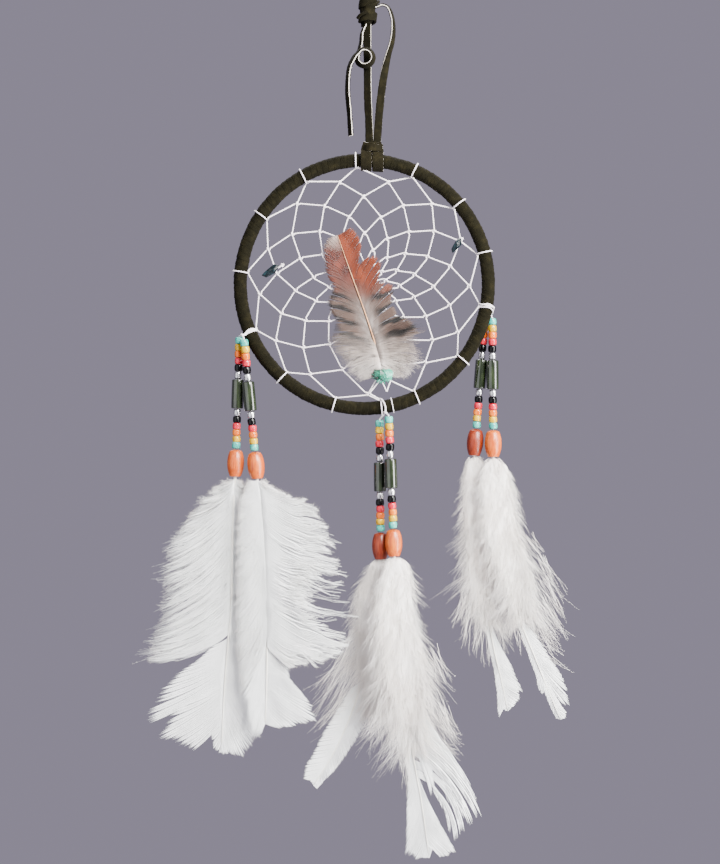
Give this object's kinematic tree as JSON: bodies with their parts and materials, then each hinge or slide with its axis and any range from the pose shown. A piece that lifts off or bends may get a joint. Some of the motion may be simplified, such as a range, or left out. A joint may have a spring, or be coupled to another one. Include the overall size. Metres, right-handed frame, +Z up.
{
  "type": "dream catcher",
  "caption": "Round leather-wrapped hoop with a woven thread web, hanging beaded strands ending in feathers, and a suede-lace loop to hang it by.",
  "frame": {"origin": "underside of the top of the hanger loop, where it rests on a nail or hook", "axes": "+Z up, +X to the right seen from the front, -Y out of the front of the hoop towards the viewer"},
  "size_m": [0.2037, 0.0298, 0.4395],
  "materials": {
    "suede": "matte",
    "steel": "satin",
    "thread": "matte",
    "seed_beads": "gloss",
    "green_glass": "gloss",
    "orange_wood": "satin",
    "white_feather": "matte",
    "rust_feather": "matte",
    "teal_stone": "satin",
    "dark_stone": "satin"
  },
  "bodies": {
    "hanger": {"nail_loop": "suede", "hanger_knot": "suede", "left_strap": "suede", "right_strap": "suede", "lace_tail": "suede"},
    "hitch": {"rim_hitch": "suede"},
    "hoop": {"hoop_ring": "steel", "hoop_wrap": "suede", "web_first_round": "thread", "web_net": "thread", "web_feather": "rust_feather", "web_bead": "teal_stone", "left_web_chip": "dark_stone", "right_web_chip": "dark_stone", "left_rim_tie": "thread", "centre_rim_tie": "thread", "right_rim_tie": "thread"},
    "left_pair": {"left_pair_knot": "thread"},
    "centre_pair": {"centre_pair_knot": "thread"},
    "right_pair": {"right_pair_knot": "thread"},
    "left_outer_strand": {"left_outer_thread": "thread", "left_outer_upper_beads": "seed_beads", "left_outer_tube_bead": "green_glass", "left_outer_lower_beads": "seed_beads"},
    "left_outer_pendant": {"left_outer_wood_bead": "orange_wood", "left_outer_feather": "white_feather"},
    "left_inner_strand": {"left_inner_thread": "thread", "left_inner_upper_beads": "seed_beads", "left_inner_tube_bead": "green_glass", "left_inner_lower_beads": "seed_beads"},
    "left_inner_pendant": {"left_inner_wood_bead": "orange_wood", "left_inner_feather": "white_feather"},
    "centre_back_strand": {"centre_back_thread": "thread", "centre_back_upper_beads": "seed_beads", "centre_back_tube_bead": "green_glass", "centre_back_lower_beads": "seed_beads"},
    "centre_back_pendant": {"centre_back_wood_bead": "orange_wood", "centre_back_feather": "white_feather"},
    "centre_front_strand": {"centre_front_thread": "thread", "centre_front_upper_beads": "seed_beads", "centre_front_tube_bead": "green_glass", "centre_front_lower_beads": "seed_beads"},
    "centre_front_pendant": {"centre_front_wood_bead": "orange_wood", "centre_front_feather": "white_feather"},
    "right_back_strand": {"right_back_thread": "thread", "right_back_upper_beads": "seed_beads", "right_back_tube_bead": "green_glass", "right_back_lower_beads": "seed_beads"},
    "right_back_pendant": {"right_back_wood_bead": "orange_wood", "right_back_feather": "white_feather"},
    "right_front_strand": {"right_front_thread": "thread", "right_front_upper_beads": "seed_beads", "right_front_tube_bead": "green_glass", "right_front_lower_beads": "seed_beads"},
    "right_front_pendant": {"right_front_wood_bead": "orange_wood", "right_front_feather": "white_feather"}
  },
  "joints": [
    {"name": "hoop_turn", "type": "hinge", "parent": "hanger", "child": "hitch", "pos_m": [0.00037, 0, -0.0912], "axis": [0, 0, 1], "range_deg": [-90, 90]},
    {"name": "hoop_tilt", "type": "hinge", "parent": "hitch", "child": "hoop", "pos_m": [0.00037, 0, -0.10041], "axis": [1, 0, 0], "range_deg": [-25, 25]},
    {"name": "left_pair_swing", "type": "hinge", "parent": "hoop", "child": "left_pair", "pos_m": [-0.0633, -0.0044, -0.1845], "axis": [1, 0, 0], "range_deg": [-30, 12]},
    {"name": "centre_pair_swing", "type": "hinge", "parent": "hoop", "child": "centre_pair", "pos_m": [0.00696, -0.00485, -0.2241], "axis": [1, 0, 0], "range_deg": [-30, 15]},
    {"name": "right_pair_swing", "type": "hinge", "parent": "hoop", "child": "right_pair", "pos_m": [0.05805, 0.0053, -0.1762], "axis": [1, 0, 0], "range_deg": [-15, 30]},
    {"name": "left_outer_strand_swing", "type": "hinge", "parent": "left_pair", "child": "left_outer_strand", "pos_m": [-0.0633, -0.0044, -0.1845], "axis": [0, 1, 0], "range_deg": [0, 20]},
    {"name": "left_outer_feather_nod", "type": "hinge", "parent": "left_outer_strand", "child": "left_outer_pendant", "pos_m": [-0.06579, -0.0024, -0.24128], "axis": [1, 0, 0], "range_deg": [0, 20]},
    {"name": "left_inner_strand_swing", "type": "hinge", "parent": "left_pair", "child": "left_inner_strand", "pos_m": [-0.0633, -0.0044, -0.1845], "axis": [0, 1, 0], "range_deg": [-6, 0]},
    {"name": "left_inner_feather_nod", "type": "hinge", "parent": "left_inner_strand", "child": "left_inner_pendant", "pos_m": [-0.05653, -0.0064, -0.24237], "axis": [1, 0, 0], "range_deg": [-20, 0]},
    {"name": "centre_back_strand_swing", "type": "hinge", "parent": "centre_pair", "child": "centre_back_strand", "pos_m": [0.00696, -0.00485, -0.2241], "axis": [0, 1, 0], "range_deg": [0, 15]},
    {"name": "centre_back_feather_nod", "type": "hinge", "parent": "centre_back_strand", "child": "centre_back_pendant", "pos_m": [0.00456, -0.002, -0.2817], "axis": [1, 0, 0], "range_deg": [0, 20]},
    {"name": "centre_front_strand_swing", "type": "hinge", "parent": "centre_pair", "child": "centre_front_strand", "pos_m": [0.00696, -0.00485, -0.2241], "axis": [0, 1, 0], "range_deg": [-18, 0]},
    {"name": "centre_front_feather_nod", "type": "hinge", "parent": "centre_front_strand", "child": "centre_front_pendant", "pos_m": [0.01067, -0.0078, -0.27986], "axis": [1, 0, 0], "range_deg": [-20, 0]},
    {"name": "right_back_strand_swing", "type": "hinge", "parent": "right_pair", "child": "right_back_strand", "pos_m": [0.05805, 0.0053, -0.1762], "axis": [0, 1, 0], "range_deg": [0, 10]},
    {"name": "right_back_feather_nod", "type": "hinge", "parent": "right_back_strand", "child": "right_back_pendant", "pos_m": [0.05183, 0.0074, -0.23123], "axis": [1, 0, 0], "range_deg": [0, 20]},
    {"name": "right_front_strand_swing", "type": "hinge", "parent": "right_pair", "child": "right_front_strand", "pos_m": [0.05805, 0.0053, -0.1762], "axis": [0, 1, 0], "range_deg": [-20, 0]},
    {"name": "right_front_feather_nod", "type": "hinge", "parent": "right_front_strand", "child": "right_front_pendant", "pos_m": [0.05983, 0.0034, -0.2318], "axis": [1, 0, 0], "range_deg": [-20, 0]}
  ]
}
